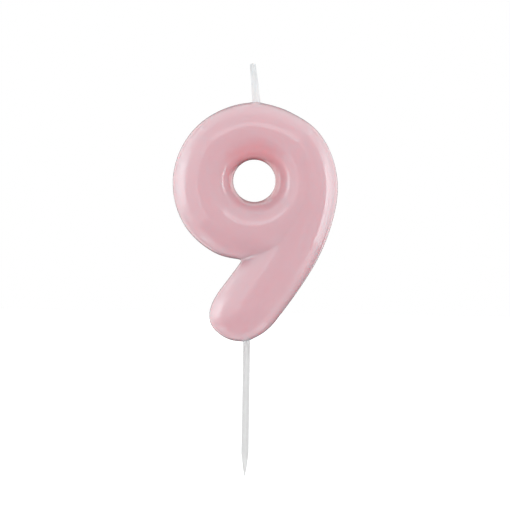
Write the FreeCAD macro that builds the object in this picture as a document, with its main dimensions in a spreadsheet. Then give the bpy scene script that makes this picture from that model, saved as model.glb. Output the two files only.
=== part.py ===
import FreeCAD, Part
import os

# Number birthday candle: a cast wax nine with a primed cotton wick, pushed onto a clear plastic pick.
# Millimetres. +Z is up, +X is to the reader's right and the front of the nine faces -Y.
# The origin is on the pick's axis at the underside of the nine, where the candle meets the cake.

doc = FreeCAD.newDocument("NumberCandle")
os.makedirs("parts", exist_ok=True)


# ---------------------------------------------------------------- driving dimensions

DIMENSIONS = {
    # bowl of the nine: a rounded ring between the hole and a slightly off-centre outer circle
    "hole_x": 1.5,
    "hole_z": 47.0,
    "hole_radius": 6.25,
    "bowl_radius": 23.45,
    "bowl_offset": 0.95,
    "bowl_thick_side": -119,
    "bowl_rise": 0.3,
    "bowl_tuck": 1.2,
    "block_size": 40,
    # every stroke is an oval, a little shallower than it is wide
    "puff": 0.92,
    # tail of the nine: centre, lean of the cross-section and half width at each station
    "crown_x": 8.6,
    "crown_z": 60.2,
    "crown_lean": 62,
    "crown_half": 7.0,
    "shoulder_x": 12.3,
    "shoulder_z": 57.5,
    "shoulder_lean": 50,
    "shoulder_half": 8.05,
    "cheek_x": 15.9,
    "cheek_z": 52.2,
    "cheek_lean": 25,
    "cheek_half": 8.45,
    "side_x": 17.2,
    "side_z": 46.0,
    "side_lean": 1,
    "side_half": 8.7,
    "hip_x": 16.2,
    "hip_z": 38.6,
    "hip_lean": -12.3,
    "hip_half": 8.9,
    "bend_x": 13.5,
    "bend_z": 31.1,
    "bend_lean": -23.3,
    "bend_half": 9.1,
    "knee_x": 10.1,
    "knee_z": 24.7,
    "knee_lean": -31.5,
    "knee_half": 9.2,
    "foot_x": 1.1,
    "foot_z": 11.6,
    "foot_lean": -35,
    "foot_half": 9.25,
    # rounded end of the tail
    "toe_length": 13.2,
    "toe_squareness": 2.35,
    "toe_drift": 1.6,
    # wick, leaning a little to the left, with the wax that climbs it
    "wick_foot_x": 3.3,
    "wick_foot_z": 57.0,
    "wick_lean": 6.5,
    "wick_length": 24.5,
    "wick_sunk": 12.4,
    "coat_radius": 0.86,
    "coat_spread_radius": 1.24,
    "coat_bore_radius": 0.72,
    "strand_radius": 0.325,
    "strand_reach": 0.38,
    "meniscus_start": 11.9,
    "meniscus_height": 1.4,
    "meniscus_foot_radius": 2.4,
    "meniscus_tip_radius": 1.4,
    # pick: round shank in the wax, crossed ribs below it, and a point
    "shank_radius": 0.9,
    "shank_length": 16,
    "shank_root": 2,
    "socket_clearance": 0.05,
    "socket_end_gap": 0.2,
    "rib_thickness": 0.7,
    "rib_top_gap": 0.3,
    "pick_top_radius": 1.03,
    "pick_low_radius": 1.1,
    "pick_straight_length": 33,
    "point_length": 6.8,
    "point_radius": 0.15,
}

TAIL_STATIONS = ("crown", "shoulder", "cheek", "side", "hip", "bend", "knee", "foot")
RING_SECTIONS = 12
OUTLINE_CHANGES = {
    90: " + Dimensions.bowl_rise",
    240: " - Dimensions.bowl_tuck / 4",
    270: " - Dimensions.bowl_tuck",
    300: " - Dimensions.bowl_tuck",
}
TOE_ANGLES = (25, 45, 60, 72, 82)
STRANDS = 3

sheet = doc.addObject("Spreadsheet::Sheet", "Dimensions")
for row, (alias, number) in enumerate(DIMENSIONS.items(), start=1):
    sheet.set(f"A{row}", alias.replace("_", " "))
    sheet.set(f"B{row}", str(number))
    sheet.setAlias(f"B{row}", alias)
doc.recompute()


# ---------------------------------------------------------------- helpers

def add(kind, name, **sizes):
    """Add an object whose named sizes are bound to expressions of the dimensions."""
    item = doc.addObject(kind, name)
    for size, expression in sizes.items():
        item.setExpression(size, expression)
    return item


def oval(name, x, z, lean, half):
    """Cross-section of a stroke: an oval across the XZ plane, its long axis at angle lean."""
    return add(
        "Part::Ellipse", name,
        Placement=f"placement(vector({x}; 0; {z}); rotation(vector(0; -1; 0); {lean}))",
        MajorRadius=half,
        MinorRadius=f"({half}) * Dimensions.puff",
    )


def loft(name, sections, closed):
    """Smooth solid through a list of cross-sections."""
    item = doc.addObject("Part::Loft", name)
    item.Sections = sections
    item.Solid = True
    item.Closed = closed
    return item


def combine(kind, name, base, tool):
    """Boolean of two solids: Part::Fuse, Part::Cut or Part::Common, with its seams kept."""
    item = doc.addObject(kind, name)
    item.Base = base
    item.Tool = tool
    item.Refine = False
    return item


def upright(kind, name, bottom, **sizes):
    """A solid of revolution on the pick's axis, standing on the given height."""
    place = f"placement(vector(0; 0; {bottom}); rotation(0; 0; 0))"
    return add(kind, name, Placement=place, **sizes)


def along_wick(distance, side_x="0", side_y="0"):
    """Placement on the wick's leaning axis, a distance above its foot, with an offset across it."""
    foot = "placement(vector(Dimensions.wick_foot_x; 0; Dimensions.wick_foot_z); "
    lean = "rotation(vector(0; 1; 0); -Dimensions.wick_lean))"
    shift = f" * placement(vector({side_x}; {side_y}; {distance}); rotation(vector(0; 0; 1); 0))"
    return foot + lean + shift


# ---------------------------------------------------------------- the nine

def bowl():
    """Ring of the nine, its stroke as wide as the gap between the hole and the outer circle."""
    sections = []
    for index in range(RING_SECTIONS):
        angle = 360 * index // RING_SECTIONS
        turn = f"({angle} - Dimensions.bowl_thick_side)"
        near = f"Dimensions.bowl_offset * cos({turn})"
        far = f"sqrt(Dimensions.bowl_radius ^ 2 - (Dimensions.bowl_offset * sin({turn})) ^ 2)"
        reach = near + " + " + far + OUTLINE_CHANGES.get(angle, "")
        middle = f"({reach} + Dimensions.hole_radius) / 2"
        sections.append(oval(
            f"RingSection{index}",
            f"Dimensions.hole_x + {middle} * cos({angle})",
            f"Dimensions.hole_z + {middle} * sin({angle})",
            str(angle),
            f"({reach} - Dimensions.hole_radius) / 2",
        ))
    ring = loft("Ring", sections, closed=True)
    lower = half_of(ring, "LowerHalf", "Dimensions.hole_z - Dimensions.block_size")
    upper = half_of(ring, "UpperHalf", "Dimensions.hole_z")
    return combine("Part::Fuse", "Bowl", lower, upper)


def half_of(ring, name, bottom):
    """Half of the ring, so that no face of the nine closes on itself both ways round."""
    corner = f"vector(-Dimensions.block_size; -Dimensions.block_size / 2; {bottom})"
    block = add(
        "Part::Box", f"{name}Block",
        Length="2 * Dimensions.block_size",
        Width="Dimensions.block_size",
        Height="Dimensions.block_size",
        Placement=f"placement({corner}; rotation(0; 0; 0))",
    )
    return combine("Part::Common", name, ring, block)


def tail():
    """Stroke from inside the crown, round the right side and down to its rounded end."""
    sections = []
    for station in TAIL_STATIONS:
        place = [f"Dimensions.{station}_{size}" for size in ("x", "z", "lean", "half")]
        sections.append(oval(f"Tail{station.title()}", *place))
    for index, angle in enumerate(TOE_ANGLES):
        run = f"sin({angle})"
        x, z = toe_point(run)
        fullness = f"(1 - {run} ^ Dimensions.toe_squareness) ^ (1 / Dimensions.toe_squareness)"
        half = f"Dimensions.foot_half * {fullness}"
        sections.append(oval(f"Toe{index}", x, z, "Dimensions.foot_lean", half))
    x, z = toe_point("1")
    tip = add("Part::Vertex", "ToeTip", Placement=f"placement(vector({x}; 0; {z}); rotation(0; 0; 0))")
    sections.append(tip)
    return loft("Tail", sections, closed=False)


def toe_point(run):
    """Centre of the tail's end at a fraction of its length, drifting to the left as it goes."""
    down = f"Dimensions.toe_length * {run}"
    left = f"Dimensions.toe_drift * {run} ^ 1.5"
    x = f"Dimensions.foot_x + {down} * sin(Dimensions.foot_lean) - {left} * cos(Dimensions.foot_lean)"
    z = f"Dimensions.foot_z - {down} * cos(Dimensions.foot_lean) - {left} * sin(Dimensions.foot_lean)"
    return x, z


def meniscus():
    """Wax that climbs the foot of the wick."""
    return add(
        "Part::Cone", "Meniscus",
        Radius1="Dimensions.meniscus_foot_radius",
        Radius2="Dimensions.meniscus_tip_radius",
        Height="Dimensions.meniscus_height",
        Placement=along_wick("Dimensions.meniscus_start"),
    )


def wick_envelope(name):
    """Outside of the primed wick, spread by the dip where it leaves the wax."""
    primed = add(
        "Part::Cylinder", f"{name}Primed",
        Radius="Dimensions.coat_radius",
        Height="Dimensions.wick_length",
        Placement=along_wick("0"),
    )
    dipped = add(
        "Part::Cone", f"{name}Dipped",
        Radius1="Dimensions.coat_spread_radius",
        Radius2="Dimensions.coat_radius",
        Height="Dimensions.wick_length - Dimensions.wick_sunk",
        Placement=along_wick("Dimensions.wick_sunk"),
    )
    return combine("Part::Fuse", name, primed, dipped)


def socket():
    """Hole up into the tail that the pick's shank slides in."""
    return upright(
        "Part::Cylinder", "Socket", "Dimensions.socket_end_gap - Dimensions.shank_length",
        Radius="Dimensions.shank_radius + Dimensions.socket_clearance",
        Height="2 * Dimensions.shank_length",
    )


def numeral():
    """The cast nine with its wick hole and pick socket."""
    strokes = combine("Part::Fuse", "Strokes", bowl(), tail())
    nine = combine("Part::Fuse", "Nine", strokes, meniscus())
    drilled = combine("Part::Cut", "DrilledNine", nine, wick_envelope("WickHole"))
    return combine("Part::Cut", "Numeral", drilled, socket())


# ---------------------------------------------------------------- the wick

def wick_coat():
    """Priming wax round the cotton, open at both ends."""
    bore = add(
        "Part::Cylinder", "CoatBore",
        Radius="Dimensions.coat_bore_radius",
        Height="Dimensions.wick_length",
        Placement=along_wick("0"),
    )
    return combine("Part::Cut", "WickCoat", wick_envelope("CoatOutside"), bore)


def wick_strand(index):
    """One of the cotton strands, spaced evenly about the wick's axis."""
    angle = 90 + 360 * index // STRANDS
    return add(
        "Part::Cylinder", f"WickStrand{index + 1}",
        Radius="Dimensions.strand_radius",
        Height="Dimensions.wick_length",
        Placement=along_wick(
            "0",
            f"Dimensions.strand_reach * cos({angle})",
            f"Dimensions.strand_reach * sin({angle})",
        ),
    )


# ---------------------------------------------------------------- the pick

def rib(name, wide, deep):
    """One flat rib of the pick's crossed section, centred on the axis."""
    length = "(Dimensions.pick_straight_length + Dimensions.point_length)"
    return add(
        "Part::Box", name,
        Length=wide,
        Width=deep,
        Height=length,
        Placement=f"placement(vector(-({wide}) / 2; -({deep}) / 2; -{length}); rotation(0; 0; 0))",
    )


def pick():
    """Moulded pick: crossed ribs that widen downward to a point, under a round shank."""
    broad = "2 * Dimensions.pick_low_radius"
    thin = "Dimensions.rib_thickness"
    ribs = combine("Part::Fuse", "Ribs", rib("RibAcross", broad, thin), rib("RibDeep", thin, broad))
    blade = upright(
        "Part::Cone", "BladeEnvelope", "-Dimensions.pick_straight_length",
        Radius1="Dimensions.pick_low_radius",
        Radius2="Dimensions.pick_top_radius",
        Height="Dimensions.pick_straight_length - Dimensions.rib_top_gap",
    )
    point = upright(
        "Part::Cone", "PointEnvelope", "-Dimensions.pick_straight_length - Dimensions.point_length",
        Radius1="Dimensions.point_radius",
        Radius2="Dimensions.pick_low_radius",
        Height="Dimensions.point_length",
    )
    outline = combine("Part::Fuse", "PickOutline", blade, point)
    pointed_ribs = combine("Part::Common", "PointedRibs", ribs, outline)
    shank = upright(
        "Part::Cylinder", "Shank", "-Dimensions.shank_root",
        Radius="Dimensions.shank_radius",
        Height="Dimensions.shank_length + Dimensions.shank_root",
    )
    return combine("Part::Fuse", "Pick", pointed_ribs, shank)


# ---------------------------------------------------------------- the assembly

nodes = {
    "numeral": numeral(),
    "wick_coat": wick_coat(),
    "pick": pick(),
}
for number in range(STRANDS):
    nodes[f"wick_strand_{number + 1}"] = wick_strand(number)
for label, item in nodes.items():
    item.Label = label
doc.recompute()

for item in doc.Objects:
    if {"Invalid", "Error"} & set(item.State):
        raise RuntimeError(f"{item.Name} failed: {item.State}")
for label, item in nodes.items():
    shape = item.Shape
    if shape.isNull() or not shape.isValid() or len(shape.Solids) != 1:
        raise RuntimeError(f"{label} is not one valid solid")
    shape.exportStep(f"parts/{label}.step")
    print(f"{label}: {shape.Volume:.1f} cubic mm")
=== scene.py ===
import math

import bmesh
import bpy
import numpy as np
from mathutils import Matrix, Vector, noise


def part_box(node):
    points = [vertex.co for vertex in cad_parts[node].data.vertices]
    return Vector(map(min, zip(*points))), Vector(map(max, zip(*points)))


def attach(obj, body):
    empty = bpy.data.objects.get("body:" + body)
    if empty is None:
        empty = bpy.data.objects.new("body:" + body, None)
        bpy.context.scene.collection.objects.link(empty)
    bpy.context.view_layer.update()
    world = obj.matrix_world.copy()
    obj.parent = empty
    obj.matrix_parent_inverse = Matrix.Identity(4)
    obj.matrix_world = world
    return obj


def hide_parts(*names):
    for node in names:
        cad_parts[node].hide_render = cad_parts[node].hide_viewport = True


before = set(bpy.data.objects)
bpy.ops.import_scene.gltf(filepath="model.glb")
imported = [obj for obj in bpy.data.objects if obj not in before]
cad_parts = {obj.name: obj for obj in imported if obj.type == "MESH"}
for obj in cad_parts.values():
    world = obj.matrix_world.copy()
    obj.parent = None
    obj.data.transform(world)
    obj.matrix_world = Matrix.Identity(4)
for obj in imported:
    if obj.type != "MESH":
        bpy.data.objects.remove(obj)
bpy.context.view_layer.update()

# A puffed wax nine with a primed wick, on a clear plastic pick, in a white photo studio.
# Shapes are worked out in millimetres and turned into metres as each mesh is made.
# +Z is up, the front of the nine faces -Y, and the origin is where the pick enters the wax.

MM = 0.001
WHITE = (1, 1, 1, 1)


# ---------------------------------------------------------------- places read from the frame

STRANDS = 3
LEAN_STEPS = 4


def node_box(node):
    """Lowest and highest corner of a CAD node, in millimetres."""
    low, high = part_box(node)
    return low / MM, high / MM


def wick_axis():
    """Foot and tip of the wick, from the boxes of its three strands."""
    boxes = [node_box(f"wick_strand_{index + 1}") for index in range(STRANDS)]
    centre = sum(((low + high) / 2 for low, high in boxes), Vector()) / len(boxes)
    low, high = boxes[0]
    radius = (high.y - low.y) / 2
    lean = 0.0
    for _ in range(LEAN_STEPS):
        across = high.x - low.x - 2 * radius * math.cos(lean)
        along = high.z - low.z - 2 * radius * math.sin(lean)
        lean = math.atan2(across, along)
    direction = Vector((-math.sin(lean), 0, math.cos(lean)))
    half = direction * math.hypot(across, along) / 2
    return centre - half, centre + half


NUMERAL_LOW, NUMERAL_HIGH = node_box("numeral")
PICK_LOW, PICK_HIGH = node_box("pick")
WICK_FOOT, WICK_TIP = wick_axis()
WICK_LENGTH = (WICK_TIP - WICK_FOOT).length
WICK_DIRECTION = (WICK_TIP - WICK_FOOT).normalized()

WICK_SUNK = 12.4
SHANK_RADIUS = 0.9


# ---------------------------------------------------------------- mesh helpers

MERGE_DISTANCE = 0.003


def make_object(name, vertices, faces):
    """Object from vertices in millimetres."""
    mesh = bpy.data.meshes.new(name)
    mesh.from_pydata([tuple(MM * c for c in vertex) for vertex in vertices], [], faces)
    mesh.validate()
    item = bpy.data.objects.new(name, mesh)
    bpy.context.scene.collection.objects.link(item)
    return item


def shade_smooth(item, sharp_angle):
    """Smooth shading, with edges kept sharp above an angle in degrees."""
    mesh = item.data
    mesh.polygons.foreach_set("use_smooth", [True] * len(mesh.polygons))
    mesh.set_sharp_from_angle(angle=math.radians(sharp_angle))


def angles_round(points):
    """Equal steps of angle, once round."""
    return [math.tau * point / points for point in range(points)]


def rings_to_faces(rings, points, capped=True):
    """Quads between equal rings of points, with flat caps at both ends or none."""
    faces = []
    for ring in range(rings - 1):
        for point in range(points):
            after = (point + 1) % points
            low, high = ring * points, (ring + 1) * points
            faces.append((low + point, low + after, high + after, high + point))
    if capped:
        faces.append(tuple(reversed(range(points))))
        faces.append(tuple(range((rings - 1) * points, rings * points)))
    return faces


def bake_modifiers(item):
    """The object's mesh replaced by what its modifiers make of it."""
    graph = bpy.context.evaluated_depsgraph_get()
    mesh = bpy.data.meshes.new_from_object(item.evaluated_get(graph))
    item.modifiers.clear()
    item.data = mesh


def tidy_faces(mesh):
    """Corners closer than a few microns made one, and faces of many corners cut into triangles."""
    bm = bmesh.new()
    bm.from_mesh(mesh)
    bmesh.ops.remove_doubles(bm, verts=bm.verts, dist=MERGE_DISTANCE * MM)
    bmesh.ops.dissolve_degenerate(bm, edges=bm.edges, dist=MERGE_DISTANCE * MM)
    many_sided = [face for face in bm.faces if len(face.verts) > 4]
    bmesh.ops.triangulate(bm, faces=many_sided, ngon_method="BEAUTY")
    bm.to_mesh(mesh)
    bm.free()


# ---------------------------------------------------------------- the wax nine

# The nine is one smooth surface, (y / half depth)^2 + plan(x, z) = 1: plan is 0 along the crest of
# the stroke and 1 at its outline. The bowl is a ring about the hole, the tail a stroke through a
# line of sections (x, z, lean, half width), and on the right the two run together. Angles are in
# degrees, and those about the hole are counted from +X towards +Z.

HOLE = (1.5, 47.0)
HOLE_RADIUS = 6.25
BOWL_RADIUS = 23.45
BOWL_OFFSET = 0.95
BOWL_THICK_SIDE = -119
BOWL_CHANGES = {90: 0.3, 240: -0.3, 270: -1.2, 300: -1.2}
BOWL_CHANGE_REACH = 30
BOWL_OPENING = 8.0
BOWL_OPENS = (-96, -62)
BOWL_CLOSES = (-68, -30)
TAIL = (
    (8.6, 60.2, 62, 7.0),
    (12.3, 57.5, 50, 8.05),
    (15.9, 52.2, 25, 8.45),
    (17.2, 46.0, 1, 8.7),
    (16.2, 38.6, -12.3, 8.9),
    (13.5, 31.1, -23.3, 9.1),
    (10.1, 24.7, -31.5, 9.2),
    (1.1, 11.6, -35, 9.25),
)
TAIL_SAMPLES = 160
TOE_LENGTH = 13.2
TOE_SQUARENESS = 2.35
TOE_DRIFT = 1.6
TOE_DRIFT_POWER = 1.5
INNER_SCOOP = 0.17
SCOOP_ENDS = (45, 100)

# Where the bowl and the tail meet: in a crease below the hole, and smoothly on the right flank.
CREASE_SOFT = 1.6
CREASE_SHARP = 9.0
CREASE_DEPTHS = (0.0, 0.5)
CREASE_TO_FLANK = (-64, -36)
FLANK_SHARPNESS = 6.0
FLANK_RADII = (11.5, 19.5)
FLANK_TOP = (75, 100)

# A place well outside the nine, and small values that keep divisions away from zero.
FAR_OUTSIDE = 99.0
SLIGHT = 1e-6
SMALLEST_SLOPE = 1e-3
TINY = 1e-12

# Making of the skin: its grid, its settling onto the surface, then the marks of mould and dip.
VOXEL = 0.36
ROUGH_EDGE = 0.995
SMOOTHING_STEPS = 8
SETTLING_STEPS = 4
SETTLING_REACH = 0.8
SLOPE_STEP = 0.02
SEAM_HALF_WIDTH = 0.28
SEAM_CUTS = (-1.0, -0.5, 0.0, 0.5, 1.0)
SEAM_SNAP = 1e-3
SEAM_FALL = 0.6 * SEAM_HALF_WIDTH
SEAM_HEIGHT = 0.05
RIPPLE_HEIGHT = 0.035
RIPPLE_LENGTH = 11.0
WICK_SWELL = 0.35
WICK_SWELL_START = 0.3 * WICK_SUNK
PICK_SWELL = 0.3
PICK_SWELL_TOP = 2.0
SWELL_REACH = 1.5
SOCKET_RADIUS = 0.95
SOCKET_BOTTOM = -3.0
SOCKET_TOP = PICK_HIGH.z + 0.2
SOCKET_POINTS = 64


def smoothstep(value, low, high):
    """Runs from 0 to 1 as the value goes from low to high, level at both ends."""
    share = np.clip((value - low) / (high - low), 0, 1)
    return share * share * (3 - 2 * share)


def smooth_line(places, knots, values):
    """Natural cubic curve through values at the knots."""
    count = len(knots)
    gaps = np.diff(knots)
    slopes = np.diff(values, axis=0) / gaps[:, None]
    matrix = np.eye(count)
    right = np.zeros_like(values)
    for row in range(1, count - 1):
        matrix[row, row - 1:row + 2] = gaps[row - 1], 2 * (gaps[row - 1] + gaps[row]), gaps[row]
        right[row] = 6 * (slopes[row] - slopes[row - 1])
    bends = np.linalg.solve(matrix, right)
    index = np.clip(np.searchsorted(knots, places) - 1, 0, count - 2)
    gap = gaps[index][:, None]
    after = (places - knots[index])[:, None]
    before = gap - after
    curve = (bends[index] * before ** 3 + bends[index + 1] * after ** 3) / (6 * gap)
    curve += (values[index] / gap - bends[index] * gap / 6) * before
    curve += (values[index + 1] / gap - bends[index + 1] * gap / 6) * after
    return curve


def tail_sections():
    """Closely spaced sections of the tail: x, z, sine and cosine of the lean, half width."""
    stations = np.array(TAIL)
    steps = np.hypot(*np.diff(stations[:, :2], axis=0).T)
    knots = np.concatenate([[0], np.cumsum(steps)])
    x, z, lean, half = smooth_line(np.linspace(0, knots[-1], TAIL_SAMPLES), knots, stations).T
    return x, z, np.sin(np.radians(lean)), np.cos(np.radians(lean)), half


SECTIONS = tail_sections()


def bowl_place(x, z):
    """Across the bowl, from -1 at the hole to 1 at the outline, with the radius and the angle.

    The bowl opens out where it runs into the tail, so it meets the tail's flank in a short crease.
    """
    radius = np.hypot(x - HOLE[0], z - HOLE[1])
    angle = np.arctan2(z - HOLE[1], x - HOLE[0])
    turn = angle - math.radians(BOWL_THICK_SIDE)
    reach = BOWL_OFFSET * np.cos(turn)
    reach += np.sqrt(BOWL_RADIUS ** 2 - (BOWL_OFFSET * np.sin(turn)) ** 2)
    for place, change in BOWL_CHANGES.items():
        away = (angle - math.radians(place) + math.pi) % math.tau - math.pi
        reach += change * (1 - smoothstep(np.abs(away), 0, math.radians(BOWL_CHANGE_REACH)))
    angle = np.degrees(angle)
    opening = BOWL_OPENING * smoothstep(angle, *BOWL_OPENS)
    opening *= 1 - smoothstep(angle, *BOWL_CLOSES)
    half = (reach - HOLE_RADIUS) / 2
    from_crest = radius - HOLE_RADIUS - half
    return from_crest / np.where(from_crest > 0, half + opening, half), radius, angle


def tail_place(x, z):
    """Squared place across the tail: 0 on its centre line and 1 at its outline."""
    centre_x, centre_z, sine, cosine, half = SECTIONS
    past = np.subtract.outer(x, centre_x) * sine - np.subtract.outer(z, centre_z) * cosine
    across = np.subtract.outer(x, centre_x) * cosine + np.subtract.outer(z, centre_z) * sine
    across /= half
    crossing = past[:, :-1] * past[:, 1:] <= 0
    share = past[:, :-1] / (past[:, :-1] - past[:, 1:] + TINY)
    between = across[:, :-1] + share * (across[:, 1:] - across[:, :-1])
    place = np.where(crossing, between ** 2, FAR_OUTSIDE).min(axis=1)
    ahead = past[:, 0] / half[0]
    place = np.where(ahead < 0, np.minimum(place, across[:, 0] ** 2 + ahead ** 2), place)
    run = np.maximum(past[:, -1] / TOE_LENGTH, 0)
    drifted = np.abs(across[:, -1] + TOE_DRIFT * run ** TOE_DRIFT_POWER / half[-1])
    toe = (drifted ** TOE_SQUARENESS + run ** TOE_SQUARENESS) ** (2 / TOE_SQUARENESS)
    return np.where(run > 0, toe, place)


def soft_smaller(first, second, power):
    """The smaller of two places, rounded where they are alike."""
    low = np.minimum(first, second)
    return low * (1 + (low / np.maximum(first, second)) ** power) ** (-1 / power)


def plan(x, z):
    """0 along the crest of the nine and 1 at its outline."""
    across, radius, angle = bowl_place(x, z)
    inner = np.minimum(across, 0) ** 2
    scoop = 4 * INNER_SCOOP * (1 - smoothstep(np.abs(angle), *SCOOP_ENDS))
    bowl = across ** 2 + scoop * inner ** 2 * np.maximum(1 - inner, 0)
    bowl = np.maximum(bowl, SLIGHT)
    tail = np.maximum(tail_place(x, z), SLIGHT)
    outer = smoothstep(radius, *FLANK_RADII) * (1 - smoothstep(angle, *FLANK_TOP))
    running_together = (1 - outer) * bowl + outer * soft_smaller(bowl, tail, FLANK_SHARPNESS)
    depth = smoothstep(np.minimum(bowl, tail), *CREASE_DEPTHS)
    sharpness = CREASE_SOFT + (CREASE_SHARP - CREASE_SOFT) * depth
    meeting = soft_smaller(bowl, tail, sharpness)
    share = smoothstep(angle, *CREASE_TO_FLANK)
    return (1 - share) * meeting + share * running_together


def settle(points):
    """Points moved onto the surface of the nine."""
    depth = NUMERAL_HIGH.y
    step = SLOPE_STEP
    for _ in range(SETTLING_STEPS):
        x, y, z = points.T
        here = plan(x, z)
        slope = np.stack([
            (plan(x + step, z) - plan(x - step, z)) / (2 * step),
            2 * y / depth ** 2,
            (plan(x, z + step) - plan(x, z - step)) / (2 * step),
        ], axis=1)
        excess = (y / depth) ** 2 + here - 1
        size = np.maximum((slope ** 2).sum(axis=1), SMALLEST_SLOPE)
        move = (excess / size)[:, None] * slope
        length = np.linalg.norm(move, axis=1, keepdims=True)
        points = points - move * np.minimum(1, SETTLING_REACH / np.maximum(length, TINY))
    return points


def rough_solid():
    """Closed solid on a square grid, close to the surface of the nine."""
    x = np.arange(NUMERAL_LOW.x - VOXEL, NUMERAL_HIGH.x + 2 * VOXEL, VOXEL)
    z = np.arange(NUMERAL_LOW.z - VOXEL, NUMERAL_HIGH.z + 2 * VOXEL, VOXEL)
    grid_x, grid_z = (axis.ravel() for axis in np.meshgrid(x, z))
    place = plan(grid_x, grid_z)
    height = NUMERAL_HIGH.y * np.sqrt(np.clip(1 - place, 0, 1))
    front = np.stack([grid_x, -height, grid_z], axis=1)
    back = np.stack([grid_x, height, grid_z], axis=1)
    inside = (place < ROUGH_EDGE).reshape(len(z), len(x))
    cells = inside[:-1, :-1] & inside[1:, :-1] & inside[:-1, 1:] & inside[1:, 1:]
    width = len(x)
    behind = len(grid_x)
    faces = []
    for row, column in np.argwhere(cells).tolist():
        corner = row * width + column
        loop = (corner, corner + 1, corner + width + 1, corner + width)
        faces.append(loop)
        faces.append(tuple(behind + index for index in reversed(loop)))
        neighbours = ((row - 1, column), (row, column + 1), (row + 1, column), (row, column - 1))
        for side, neighbour in enumerate(neighbours):
            if not cells[neighbour]:
                first, second = loop[side], loop[(side + 1) % len(loop)]
                faces.append((second, first, behind + first, behind + second))
    return np.concatenate([front, back]).tolist(), faces


def add_parting_line(mesh):
    """Loops of edges near the middle plane, where the two halves of the mould met."""
    bm = bmesh.new()
    bm.from_mesh(mesh)
    for share in SEAM_CUTS:
        bmesh.ops.bisect_plane(
            bm,
            geom=bm.verts[:] + bm.edges[:] + bm.faces[:],
            dist=SEAM_SNAP,
            plane_co=Vector((0, share * SEAM_HALF_WIDTH, 0)),
            plane_no=(0, 1, 0),
        )
    bm.to_mesh(mesh)
    bm.free()


def swell(place):
    """Where the wax has crept along the wick, and along the pick under the nine."""
    along = (place - WICK_FOOT).dot(WICK_DIRECTION)
    from_wick = (place - WICK_FOOT - along * WICK_DIRECTION).length
    lift = Vector()
    if along > WICK_SWELL_START:
        lift += WICK_SWELL * math.exp(-(from_wick / SWELL_REACH) ** 2) * WICK_DIRECTION
    if place.z < PICK_SWELL_TOP:
        lift.z -= PICK_SWELL * math.exp(-(math.hypot(place.x, place.y) / SWELL_REACH) ** 2)
    return lift


def ripple_and_seam(mesh):
    """Slow unevenness of dipped wax, and a faint ridge along the parting line."""
    moved = []
    for vertex in mesh.vertices:
        lift = RIPPLE_HEIGHT * noise.noise(vertex.co / RIPPLE_LENGTH)
        offset = vertex.co.y / SEAM_FALL
        lift += SEAM_HEIGHT * math.exp(-offset * offset)
        moved.append(vertex.co + lift * vertex.normal + swell(vertex.co))
    for vertex, place in zip(mesh.vertices, moved):
        vertex.co = place


def cut_socket(item):
    """The round hole that the pick slides in."""
    vertices = []
    for height in (SOCKET_BOTTOM, SOCKET_TOP):
        for angle in angles_round(SOCKET_POINTS):
            around = Vector((math.cos(angle), math.sin(angle), 0))
            vertices.append(Vector((0, 0, height)) + SOCKET_RADIUS * around)
    cutter = make_object("socket_cutter", vertices, rings_to_faces(2, SOCKET_POINTS))
    boolean = item.modifiers.new("socket", "BOOLEAN")
    boolean.operation = "DIFFERENCE"
    boolean.solver = "EXACT"
    boolean.object = cutter
    bake_modifiers(item)
    bpy.data.objects.remove(cutter)


def make_numeral():
    """Skin of the nine: dipped wax over the moulded shape, with the socket of the pick."""
    vertices, faces = rough_solid()
    mesh = bpy.data.meshes.new("numeral_skin")
    mesh.from_pydata(vertices, [], faces)
    item = bpy.data.objects.new("numeral_skin", mesh)
    bpy.context.scene.collection.objects.link(item)
    remesh = item.modifiers.new("remesh", "REMESH")
    remesh.mode = "VOXEL"
    remesh.voxel_size = VOXEL
    smooth = item.modifiers.new("smooth", "SMOOTH")
    smooth.factor = 0.5
    smooth.iterations = SMOOTHING_STEPS
    bake_modifiers(item)
    corners = np.array([vertex.co[:] for vertex in item.data.vertices])
    item.data.vertices.foreach_set("co", settle(corners).ravel())
    item.data.update()
    add_parting_line(item.data)
    ripple_and_seam(item.data)
    item.data.transform(Matrix.Scale(MM, 4))
    cut_socket(item)
    tidy_faces(item.data)
    shade_smooth(item, sharp_angle=50)
    return item


# ---------------------------------------------------------------- the wick

COAT_POINTS = 72
COAT_RINGS = 120
COAT_RADIUS = 0.86
COAT_SPREAD = 1.24
COAT_BORE = 0.7
COAT_BORE_RIM = 0.5
COAT_LIP = 0.06
COAT_LIP_EASE = 0.3
COAT_UNEVENNESS = 0.03
COAT_NOISE_RISE = 0.35
COAT_NOISE_SCALE = 1.7
TWIST_LENGTH = 30.0
RIDGE_HEIGHT = 0.035
RIDGE_AT_WAX = 0.4


def wick_point(distance, radius, angle):
    """Point about the wick's axis, a distance above its foot."""
    side = Vector((0, 1, 0))
    front = side.cross(WICK_DIRECTION).normalized()
    around = math.cos(angle) * front + math.sin(angle) * side
    return WICK_FOOT + distance * WICK_DIRECTION + radius * around


def coat_radius(distance, angle):
    """Outside of the primed wick: spread at the wax, ridged by the strands, a little uneven."""
    exposed = max(0.0, (distance - WICK_SUNK) / (WICK_LENGTH - WICK_SUNK))
    spread = (COAT_SPREAD - COAT_RADIUS) * (1 - exposed) if distance > WICK_SUNK else 0.0
    ridge = RIDGE_HEIGHT * math.cos(STRANDS * (angle - math.tau * distance / TWIST_LENGTH))
    ridge *= RIDGE_AT_WAX + exposed
    around = Vector((math.cos(angle), math.sin(angle), distance * COAT_NOISE_RISE))
    unevenness = COAT_UNEVENNESS * noise.noise(around * COAT_NOISE_SCALE)
    return COAT_RADIUS + spread + ridge + unevenness


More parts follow.
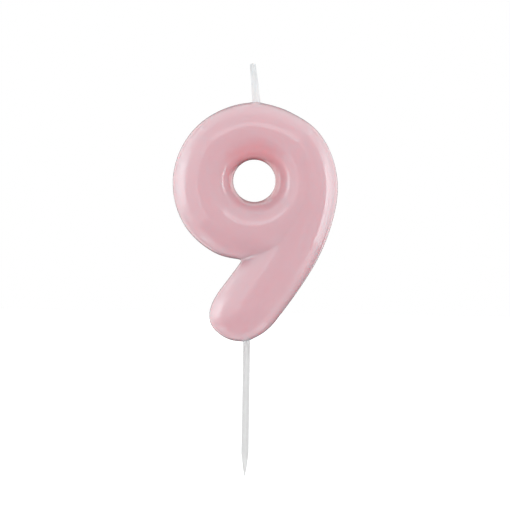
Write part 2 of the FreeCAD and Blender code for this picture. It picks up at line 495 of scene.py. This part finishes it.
def make_coat():
    """Wax sheath of the wick, with a rounded lip at the cut end and the bore inside it."""
    ease = COAT_LIP_EASE * COAT_LIP
    outside = [(WICK_LENGTH * ring / (COAT_RINGS - 1), 0.0) for ring in range(COAT_RINGS - 1)]
    outside += [(WICK_LENGTH - COAT_LIP, 0.0), (WICK_LENGTH - ease, ease), (WICK_LENGTH, COAT_LIP)]
    vertices = []
    for distance, inset in outside:
        for angle in angles_round(COAT_POINTS):
            vertices.append(wick_point(distance, coat_radius(distance, angle) - inset, angle))
    for distance in (WICK_LENGTH, WICK_LENGTH - COAT_BORE_RIM, 0.0):
        for angle in angles_round(COAT_POINTS):
            vertices.append(wick_point(distance, COAT_BORE, angle))
    rings = len(vertices) // COAT_POINTS
    faces = rings_to_faces(rings, COAT_POINTS, capped=False)
    last = (rings - 1) * COAT_POINTS
    for point in range(COAT_POINTS):
        after = (point + 1) % COAT_POINTS
        faces.append((last + point, last + after, after, point))
    item = make_object("wick_coat_wax", vertices, faces)
    shade_smooth(item, sharp_angle=50)
    return item


STRAND_RINGS = 90
STRAND_POINTS = 30
STRAND_RADIUS = 0.31
STRAND_REACH = 0.36
STRAND_START = 0.25
STRAND_STEP = 0.05
STRAND_RING_CROWDING = 1.3
CUT_LENGTH = 0.12
CUT_NARROWING = 0.75
PLIES = 5
PLY_DEPTH = 0.1
PLY_TWIST = 1.6


def make_strand(number):
    """One twisted cotton strand, with its plies showing at the cut end."""
    vertices = []
    start = math.tau * (STRAND_START + number / STRANDS)
    top = WICK_LENGTH + STRAND_STEP + STRAND_STEP * number
    for ring in range(STRAND_RINGS):
        share = ring / (STRAND_RINGS - 1)
        distance = top * (1 - (1 - share) ** STRAND_RING_CROWDING)
        turn = start + math.tau * distance / TWIST_LENGTH
        centre = wick_point(distance, STRAND_REACH, turn)
        closing = max(0.0, (distance - top + CUT_LENGTH) / CUT_LENGTH)
        radius = STRAND_RADIUS * math.sqrt(max(0.0, 1 - CUT_NARROWING * closing ** 2))
        for angle in angles_round(STRAND_POINTS):
            lobes = 1 + PLY_DEPTH * math.cos(PLIES * (angle - distance * PLY_TWIST))
            shift = wick_point(distance, radius * lobes, angle) - wick_point(distance, 0, 0)
            vertices.append(centre + shift)
    faces = rings_to_faces(STRAND_RINGS, STRAND_POINTS)
    item = make_object(f"wick_strand_{number + 1}_cotton", vertices, faces)
    shade_smooth(item, sharp_angle=60)
    return item


# ---------------------------------------------------------------- the pick

RIB_HALF = 0.35
RIB_TOP = -0.3
RIB_TOP_STEP = 0.02
RIB_TOP_REACH = 1.03
RIB_EDGE = 0.07
RIB_END_SHARES = (-1.0, 0.0, 1.0)
RIB_SIDE_SHARES = (0.3, 0.65, 1.0, 1.35, 1.7)
BLADE_STATIONS = 24
POINT_LENGTH = 6.8
POINT_FULLNESS = 0.8
POINT_REACH = 0.1
POINT_RIB_SHARE = 0.72
POINT_SHARES = (0.0, 0.02, 0.06, 0.12, 0.2, 0.35, 0.5, 0.65, 0.8, 0.92)
SHANK_ROOT = 2.0
SHANK_ROOT_LENGTH = 0.8
SHANK_EDGE_HEIGHT = 0.3
SHANK_EDGE_WIDTH = 0.25


def rib_outline(reach, half, core):
    """Section of the crossed ribs, as points about the axis, round a core of a given radius."""
    corner = math.atan2(half, reach)
    points = []
    for quarter in range(4):
        base = quarter * math.pi / 2
        angles = [corner * share for share in RIB_END_SHARES]
        angles += [corner + (math.pi / 4 - corner) * share for share in RIB_SIDE_SHARES]
        for angle in angles:
            near = abs(angle) if angle <= math.pi / 4 else math.pi / 2 - angle
            if near <= corner + SLIGHT:
                radius = reach / math.cos(near)
            else:
                radius = half / math.sin(near)
            radius = max(radius, core)
            points.append((radius * math.cos(base + angle), radius * math.sin(base + angle)))
    return points


def pick_stations():
    """Heights of the pick's sections, with the ribs' reach, half thickness and round core."""
    shoulder = PICK_LOW.z + POINT_LENGTH
    stations = []
    for share in POINT_SHARES:
        height = PICK_LOW.z + POINT_LENGTH * share
        reach = POINT_REACH + (PICK_HIGH.x - POINT_REACH) * share ** POINT_FULLNESS
        stations.append((height, reach, min(RIB_HALF, POINT_RIB_SHARE * reach), 0.0))
    for share in np.linspace(0, 1, BLADE_STATIONS):
        height = shoulder + (RIB_TOP - shoulder) * share
        reach = PICK_HIGH.x + (RIB_TOP_REACH - PICK_HIGH.x) * share
        core = SHANK_RADIUS * min(1.0, max(0.0, (height + SHANK_ROOT) / SHANK_ROOT_LENGTH))
        stations.append((height, reach, RIB_HALF, core))
    end = SHANK_RADIUS - SHANK_EDGE_WIDTH
    stations.append((RIB_TOP + RIB_TOP_STEP, SHANK_RADIUS, RIB_HALF, SHANK_RADIUS))
    stations.append((PICK_HIGH.z - SHANK_EDGE_HEIGHT, SHANK_RADIUS, RIB_HALF, SHANK_RADIUS))
    stations.append((PICK_HIGH.z, end, RIB_HALF, end))
    return stations


def make_pick():
    """The moulded pick, its rib edges softened."""
    vertices = []
    stations = pick_stations()
    for height, reach, half, core in stations:
        vertices += [(x, y, height) for x, y in rib_outline(reach, half, core)]
    points = len(vertices) // len(stations)
    item = make_object("pick_moulding", vertices, rings_to_faces(len(stations), points))
    bevel = item.modifiers.new("soft_edges", "BEVEL")
    bevel.width = RIB_EDGE * MM
    bevel.segments = 2
    bevel.limit_method = "ANGLE"
    bevel.angle_limit = math.radians(50)
    bake_modifiers(item)
    tidy_faces(item.data)
    shade_smooth(item, sharp_angle=40)
    return item


# ---------------------------------------------------------------- materials

WAX_PALE = (0.703, 0.453, 0.496)
WAX_PALER = (0.721, 0.466, 0.509)
# Painted shade: the deeper, redder pink that light bounced about inside the hole gives its walls.
PAINTED_HOLE_SHADE = (0.785, 0.4, 0.435)
# Painted shade: a darker ring at the rim of the hole.
PAINTED_RIM_SHADE = (0.64, 0.3, 0.325)

# How far above the hole's axis each painted shade is centred, and the radii between which it fades.
PAINTED_HOLE_SHADE_PLACE = (2.4, 5.5, 11.4)
PAINTED_RIM_SHADE_PLACE = (0.0, 6.1, 7.0)
RAMP_ENDS = (0.3, 0.7)


def new_material(name):
    """Material with its shader and node tree."""
    material = bpy.data.materials.new(name)
    material.use_nodes = True
    tree = material.node_tree
    return material, tree, tree.nodes["Principled BSDF"]


def noise_node(tree, scale, detail=3.0):
    """Noise fixed to the object, with its scale in cycles per metre."""
    place = tree.nodes.new("ShaderNodeTexCoord")
    node = tree.nodes.new("ShaderNodeTexNoise")
    node.inputs["Scale"].default_value = scale
    node.inputs["Detail"].default_value = detail
    tree.links.new(place.outputs["Object"], node.inputs["Vector"])
    return node


def mix_colours(tree, factor, first, second):
    """Colour that runs from the first to the second as the factor goes from 0 to 1."""
    ramp = tree.nodes.new("ShaderNodeValToRGB")
    for element, place, colour in zip(ramp.color_ramp.elements, RAMP_ENDS, (first, second)):
        element.position = place
        element.color = (*colour, 1)
    tree.links.new(factor, ramp.inputs["Fac"])
    return ramp.outputs["Color"]


def remap(tree, value, low, high, source=(0.0, 1.0), interpolation="LINEAR"):
    """Value that runs from low to high as another runs over its source range."""
    node = tree.nodes.new("ShaderNodeMapRange")
    node.interpolation_type = interpolation
    node.inputs["From Min"].default_value, node.inputs["From Max"].default_value = source
    node.inputs["To Min"].default_value = low
    node.inputs["To Max"].default_value = high
    tree.links.new(value, node.inputs["Value"])
    return node.outputs["Result"]


def vector_math(tree, operation, vector, constant=(0, 0, 0)):
    """Node that works on a vector, and on a constant where the operation takes two."""
    node = tree.nodes.new("ShaderNodeVectorMath")
    node.operation = operation
    node.inputs[1].default_value = constant
    tree.links.new(vector, node.inputs[0])
    return node


def add_bump(tree, shader, height, strength, distance):
    """Small relief on the shader, its distance in millimetres."""
    bump = tree.nodes.new("ShaderNodeBump")
    bump.inputs["Strength"].default_value = strength
    bump.inputs["Distance"].default_value = distance * MM
    tree.links.new(height, bump.inputs["Height"])
    tree.links.new(bump.outputs["Normal"], shader.inputs["Normal"])


def around_hole(tree, rise, inner, outer):
    """Factor that is 1 near a line above the hole's axis and fades to 0 further out."""
    place = tree.nodes.new("ShaderNodeTexCoord")
    axis = (HOLE[0] * MM, 0, (HOLE[1] + rise) * MM)
    offset = vector_math(tree, "SUBTRACT", place.outputs["Object"], axis)
    across = vector_math(tree, "MULTIPLY", offset.outputs["Vector"], (1, 0, 1))
    radius = vector_math(tree, "LENGTH", across.outputs["Vector"])
    return remap(tree, radius.outputs["Value"], 1.0, 0.0, (inner * MM, outer * MM), "SMOOTHSTEP")


def tint(tree, colour, factor, towards):
    """Colour moved towards another one by a factor."""
    mix = tree.nodes.new("ShaderNodeMix")
    mix.data_type = "RGBA"
    mix.inputs["B"].default_value = (*towards, 1)
    tree.links.new(factor, mix.inputs["Factor"])
    tree.links.new(colour, mix.inputs["A"])
    return mix.outputs["Result"]


def wax_material():
    """Pale pink paraffin under a gloss, with painted shade: deeper pink in the hole, darker at its
    rim.
    """
    material, tree, shader = new_material("pink_wax")
    cloud = noise_node(tree, 45.0)
    colour = mix_colours(tree, cloud.outputs["Fac"], WAX_PALE, WAX_PALER)
    # Painted shade inside the hole, centred a little above its axis.
    colour = tint(tree, colour, around_hole(tree, *PAINTED_HOLE_SHADE_PLACE), PAINTED_HOLE_SHADE)
    # Painted shade on the rim of the hole.
    colour = tint(tree, colour, around_hole(tree, *PAINTED_RIM_SHADE_PLACE), PAINTED_RIM_SHADE)
    tree.links.new(colour, shader.inputs["Base Color"])
    shader.inputs["Subsurface Weight"].default_value = 1.0
    shader.inputs["Subsurface Radius"].default_value = (1.0, 0.4, 0.4)
    shader.inputs["Subsurface Scale"].default_value = 0.006
    shader.inputs["IOR"].default_value = 1.45
    tree.links.new(remap(tree, cloud.outputs["Fac"], 0.36, 0.46), shader.inputs["Roughness"])
    shader.inputs["Coat Weight"].default_value = 1.0
    shader.inputs["Coat Roughness"].default_value = 0.07
    shader.inputs["Coat IOR"].default_value = 1.5
    grain = noise_node(tree, 900.0, 2.0)
    add_bump(tree, shader, grain.outputs["Fac"], 0.12, 0.02)
    return material


def coat_material():
    """Thin white priming wax over cotton."""
    material, tree, shader = new_material("primed_wick")
    streaks = noise_node(tree, 1400.0)
    colour = mix_colours(tree, streaks.outputs["Fac"], (0.955, 0.955, 0.965), (0.985, 0.985, 0.995))
    tree.links.new(colour, shader.inputs["Base Color"])
    shader.inputs["Subsurface Weight"].default_value = 0.8
    shader.inputs["Subsurface Radius"].default_value = (1.0, 0.9, 0.85)
    shader.inputs["Subsurface Scale"].default_value = 0.0006
    shader.inputs["Specular IOR Level"].default_value = 0.15
    tree.links.new(remap(tree, streaks.outputs["Fac"], 0.5, 0.65), shader.inputs["Roughness"])
    add_bump(tree, shader, streaks.outputs["Fac"], 0.12, 0.02)
    return material


def cotton_material():
    """Cotton yarn, matt and a little fuzzy."""
    material, tree, shader = new_material("cotton")
    fibre = noise_node(tree, 5200.0)
    colour = mix_colours(tree, fibre.outputs["Fac"], (0.62, 0.60, 0.58), (0.84, 0.83, 0.81))
    tree.links.new(colour, shader.inputs["Base Color"])
    tree.links.new(remap(tree, fibre.outputs["Fac"], 0.8, 1.0), shader.inputs["Roughness"])
    shader.inputs["Sheen Weight"].default_value = 0.3
    shader.inputs["Sheen Roughness"].default_value = 0.5
    add_bump(tree, shader, fibre.outputs["Fac"], 0.8, 0.03)
    return material


def pick_material():
    """Clear moulded plastic with a faint frost."""
    material, tree, shader = new_material("clear_plastic")
    frost = noise_node(tree, 700.0)
    colour = mix_colours(tree, frost.outputs["Fac"], (0.92, 0.915, 0.915), (0.945, 0.94, 0.945))
    tree.links.new(colour, shader.inputs["Base Color"])
    shader.inputs["Transmission Weight"].default_value = 0.35
    shader.inputs["Specular IOR Level"].default_value = 0.25
    shader.inputs["IOR"].default_value = 1.49
    tree.links.new(remap(tree, frost.outputs["Fac"], 0.12, 0.28), shader.inputs["Roughness"])
    add_bump(tree, shader, frost.outputs["Fac"], 0.2, 0.02)
    return material


def floor_material():
    """Plain white paper."""
    material, tree, shader = new_material("studio_floor")
    fibre = noise_node(tree, 60.0)
    colour = mix_colours(tree, fibre.outputs["Fac"], (0.90, 0.90, 0.90), (0.92, 0.92, 0.92))
    tree.links.new(colour, shader.inputs["Base Color"])
    shader.inputs["Roughness"].default_value = 0.9
    shader.inputs["Emission Color"].default_value = WHITE
    shader.inputs["Emission Strength"].default_value = 0.45
    return material


# ---------------------------------------------------------------- studio

VIEW_SPAN = 149.9
VIEW_CENTRE = (2.05, 25.19)
CAMERA_DISTANCE = 900.0
CAMERA_ROLL = math.radians(0.89)
SENSOR = 36.0
FLOOR_HALF = 2500.0
FLOOR_GAP = 0.2


def add_camera():
    """Level camera in front of the nine, rolled a little, with a long lens."""
    data = bpy.data.cameras.new("camera")
    data.sensor_width = SENSOR
    data.lens = SENSOR * CAMERA_DISTANCE / VIEW_SPAN
    data.clip_start = 0.05
    camera = bpy.data.objects.new("camera", data)
    right = Vector((math.cos(CAMERA_ROLL), 0, math.sin(CAMERA_ROLL)))
    up = Vector((-math.sin(CAMERA_ROLL), 0, math.cos(CAMERA_ROLL)))
    back = right.cross(up)
    place = Vector((VIEW_CENTRE[0], -CAMERA_DISTANCE, VIEW_CENTRE[1])) * MM
    matrix = Matrix((right, up, back)).transposed().to_4x4()
    matrix.translation = place
    camera.matrix_world = matrix
    bpy.context.scene.collection.objects.link(camera)
    bpy.context.scene.camera = camera


def add_floor():
    """Plain pale floor under the pick's point, seen by the camera only."""
    height = PICK_LOW.z - FLOOR_GAP
    signs = ((-1, -1), (1, -1), (1, 1), (-1, 1))
    corners = [(x * FLOOR_HALF, y * FLOOR_HALF, height) for x, y in signs]
    floor = make_object("studio_floor", corners, [(0, 1, 2, 3)])
    floor.data.materials.append(floor_material())
    floor.visible_diffuse = False
    floor.visible_glossy = False
    floor.visible_transmission = False


PANEL_COLOUR = (0.76, 1.0, 1.0)
BACKDROP_COLOUR = (1.0, 0.92, 0.92)

# Each panel stands square to an axis, at a distance in metres: the axis, the side of the object it
# is on, its reach along the next two axes as shares of the distance, and its brightness where
# white is 1.
PANEL_DISTANCE = 0.8
PANELS = {
    "left_wall": ("x", -1, (-2.6, -0.34), (-0.8, 1.0), 1.35),
    "left_softbox": ("x", -1, (-0.34, 0.0), (-0.3, 0.35), 4.4),
    "left_softbox_side": ("x", -1, (0.0, 0.27), (-0.3, 0.35), 3.9),
    "left_softbox_low": ("x", -1, (-0.34, 0.27), (-0.6, -0.3), 2.2),
    "left_softbox_high": ("x", -1, (-0.34, 0.27), (0.35, 0.55), 2.9),
    "left_softbox_head": ("x", -1, (-0.34, 0.27), (0.55, 1.1), 1.6),
    "left_softbox_foot": ("x", -1, (-0.34, 0.27), (-1.6, -0.6), 1.2),
    "left_rear": ("x", -1, (0.27, 0.75), (-0.4, 1.1), 2.2),
    "left_rear_foot": ("x", -1, (0.27, 0.75), (-1.4, -0.4), 1.1),
    "right_wall": ("x", 1, (-2.6, -0.26), (-0.8, 1.0), 0.5),
    "right_softbox": ("x", 1, (-0.26, 0.0), (-0.4, 0.35), 5.1),
    "right_softbox_side": ("x", 1, (0.0, 0.3), (-0.4, 0.35), 3.2),
    "right_softbox_high": ("x", 1, (-0.26, 0.3), (0.35, 0.55), 2.9),
    "right_softbox_head": ("x", 1, (-0.26, 0.3), (0.55, 1.1), 1.6),
    "right_softbox_low": ("x", 1, (-0.26, 0.3), (-0.6, -0.4), 1.8),
    "right_softbox_foot": ("x", 1, (-0.26, 0.3), (-2.2, -0.6), 1.0),
    "right_rear": ("x", 1, (0.3, 0.75), (-0.4, 1.1), 1.7),
    "right_rear_foot": ("x", 1, (0.3, 0.75), (-2.0, -0.4), 0.45),
    "overhead_strip": ("z", 1, (-0.95, 0.95), (-2.7, -1.3), 2.2),
    "overhead_wall": ("z", 1, (-0.95, 0.95), (-1.3, -0.3), 1.0),
    "overhead_softbox": ("z", 1, (-0.95, 0.95), (-0.3, 0.25), 1.4),
    "overhead_rear": ("z", 1, (-0.95, 0.95), (0.25, 1.0), 1.25),
    "backdrop": ("y", 1, (0.1, 0.9), (-0.35, 0.35), 0.25),
    "backdrop_left": ("y", 1, (-0.9, 0.9), (-1.3, -0.35), 1.15),
    "backdrop_right": ("y", 1, (-0.28, 0.9), (0.35, 1.3), 1.15),
    "ground": ("z", -1, (-0.95, 0.95), (0.0, 0.8), 0.8),
    "front_fill": ("y", -1, (-0.5, 0.5), (-0.5, 0.5), 0.4),
}
NEXT_AXES = {"x": "yz", "y": "zx", "z": "xy"}


def axis_vector(name):
    """Unit vector along a named axis."""
    return Vector([1.0 if letter == name else 0.0 for letter in "xyz"])


def add_panel(name, axis, side, first_reach, second_reach, level):
    """Soft panel that shows in gloss: the diffuse light comes from the white room around it."""
    first, second = (axis_vector(letter) for letter in NEXT_AXES[axis])
    outward = side * axis_vector(axis)
    centre = outward + first * sum(first_reach) / 2 + second * sum(second_reach) / 2
    data = bpy.data.lights.new(name, "AREA")
    data.shape = "RECTANGLE"
    data.size = PANEL_DISTANCE * (first_reach[1] - first_reach[0])
    data.size_y = PANEL_DISTANCE * (second_reach[1] - second_reach[0])
    data.energy = level * math.pi * data.size * data.size_y
    data.color = BACKDROP_COLOUR if axis == "y" else PANEL_COLOUR
    light = bpy.data.objects.new(name, data)
    matrix = Matrix((side * first, second, outward)).transposed().to_4x4()
    matrix.translation = PANEL_DISTANCE * centre + Vector((0, 0, VIEW_CENTRE[1] * MM))
    light.matrix_world = matrix
    light.visible_diffuse = False
    light.visible_camera = False
    light.visible_transmission = False
    bpy.context.scene.collection.objects.link(light)


ROOM_FRONT = 1.08
ROOM_BACK = 0.8


def add_world():
    """White room: its own soft light on the object, and plain white where the camera looks."""
    world = bpy.data.worlds.new("studio")
    world.use_nodes = True
    tree = world.node_tree
    tree.nodes.clear()
    place = tree.nodes.new("ShaderNodeTexCoord")
    split = tree.nodes.new("ShaderNodeSeparateXYZ")
    tree.links.new(place.outputs["Generated"], split.inputs[0])
    level = remap(tree, split.outputs["Y"], ROOM_FRONT, ROOM_BACK, (-1.0, 1.0), "SMOOTHSTEP")
    room = tree.nodes.new("ShaderNodeBackground")
    room.inputs["Color"].default_value = WHITE
    tree.links.new(level, room.inputs["Strength"])
    backdrop = tree.nodes.new("ShaderNodeBackground")
    backdrop.inputs["Color"].default_value = WHITE
    path = tree.nodes.new("ShaderNodeLightPath")
    mix = tree.nodes.new("ShaderNodeMixShader")
    tree.links.new(path.outputs["Is Camera Ray"], mix.inputs[0])
    tree.links.new(room.outputs[0], mix.inputs[1])
    tree.links.new(backdrop.outputs[0], mix.inputs[2])
    output = tree.nodes.new("ShaderNodeOutputWorld")
    tree.links.new(mix.outputs[0], output.inputs["Surface"])
    bpy.context.scene.world = world
    world.cycles_visibility.glossy = False


# ---------------------------------------------------------------- the assembly

def place_piece(item, body, material, slot, *nodes):
    """A finished piece: its material, its body and the CAD nodes that it stands for."""
    item.data.materials.clear()
    item.data.materials.append(material)
    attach(item, body)
    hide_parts(*nodes)


add_camera()
place_piece(make_numeral(), "numeral", wax_material(), "pink_wax", "numeral")
place_piece(make_coat(), "numeral", coat_material(), "primed_wick", "wick_coat")
cotton = cotton_material()
for index in range(STRANDS):
    place_piece(make_strand(index), "numeral", cotton, "cotton", f"wick_strand_{index + 1}")
place_piece(make_pick(), "pick", pick_material(), "clear_plastic", "pick")
add_floor()
add_world()
for name, panel in PANELS.items():
    add_panel(name, *panel)
bpy.context.scene.view_settings.view_transform = "Standard"

bpy.context.view_layer.update()
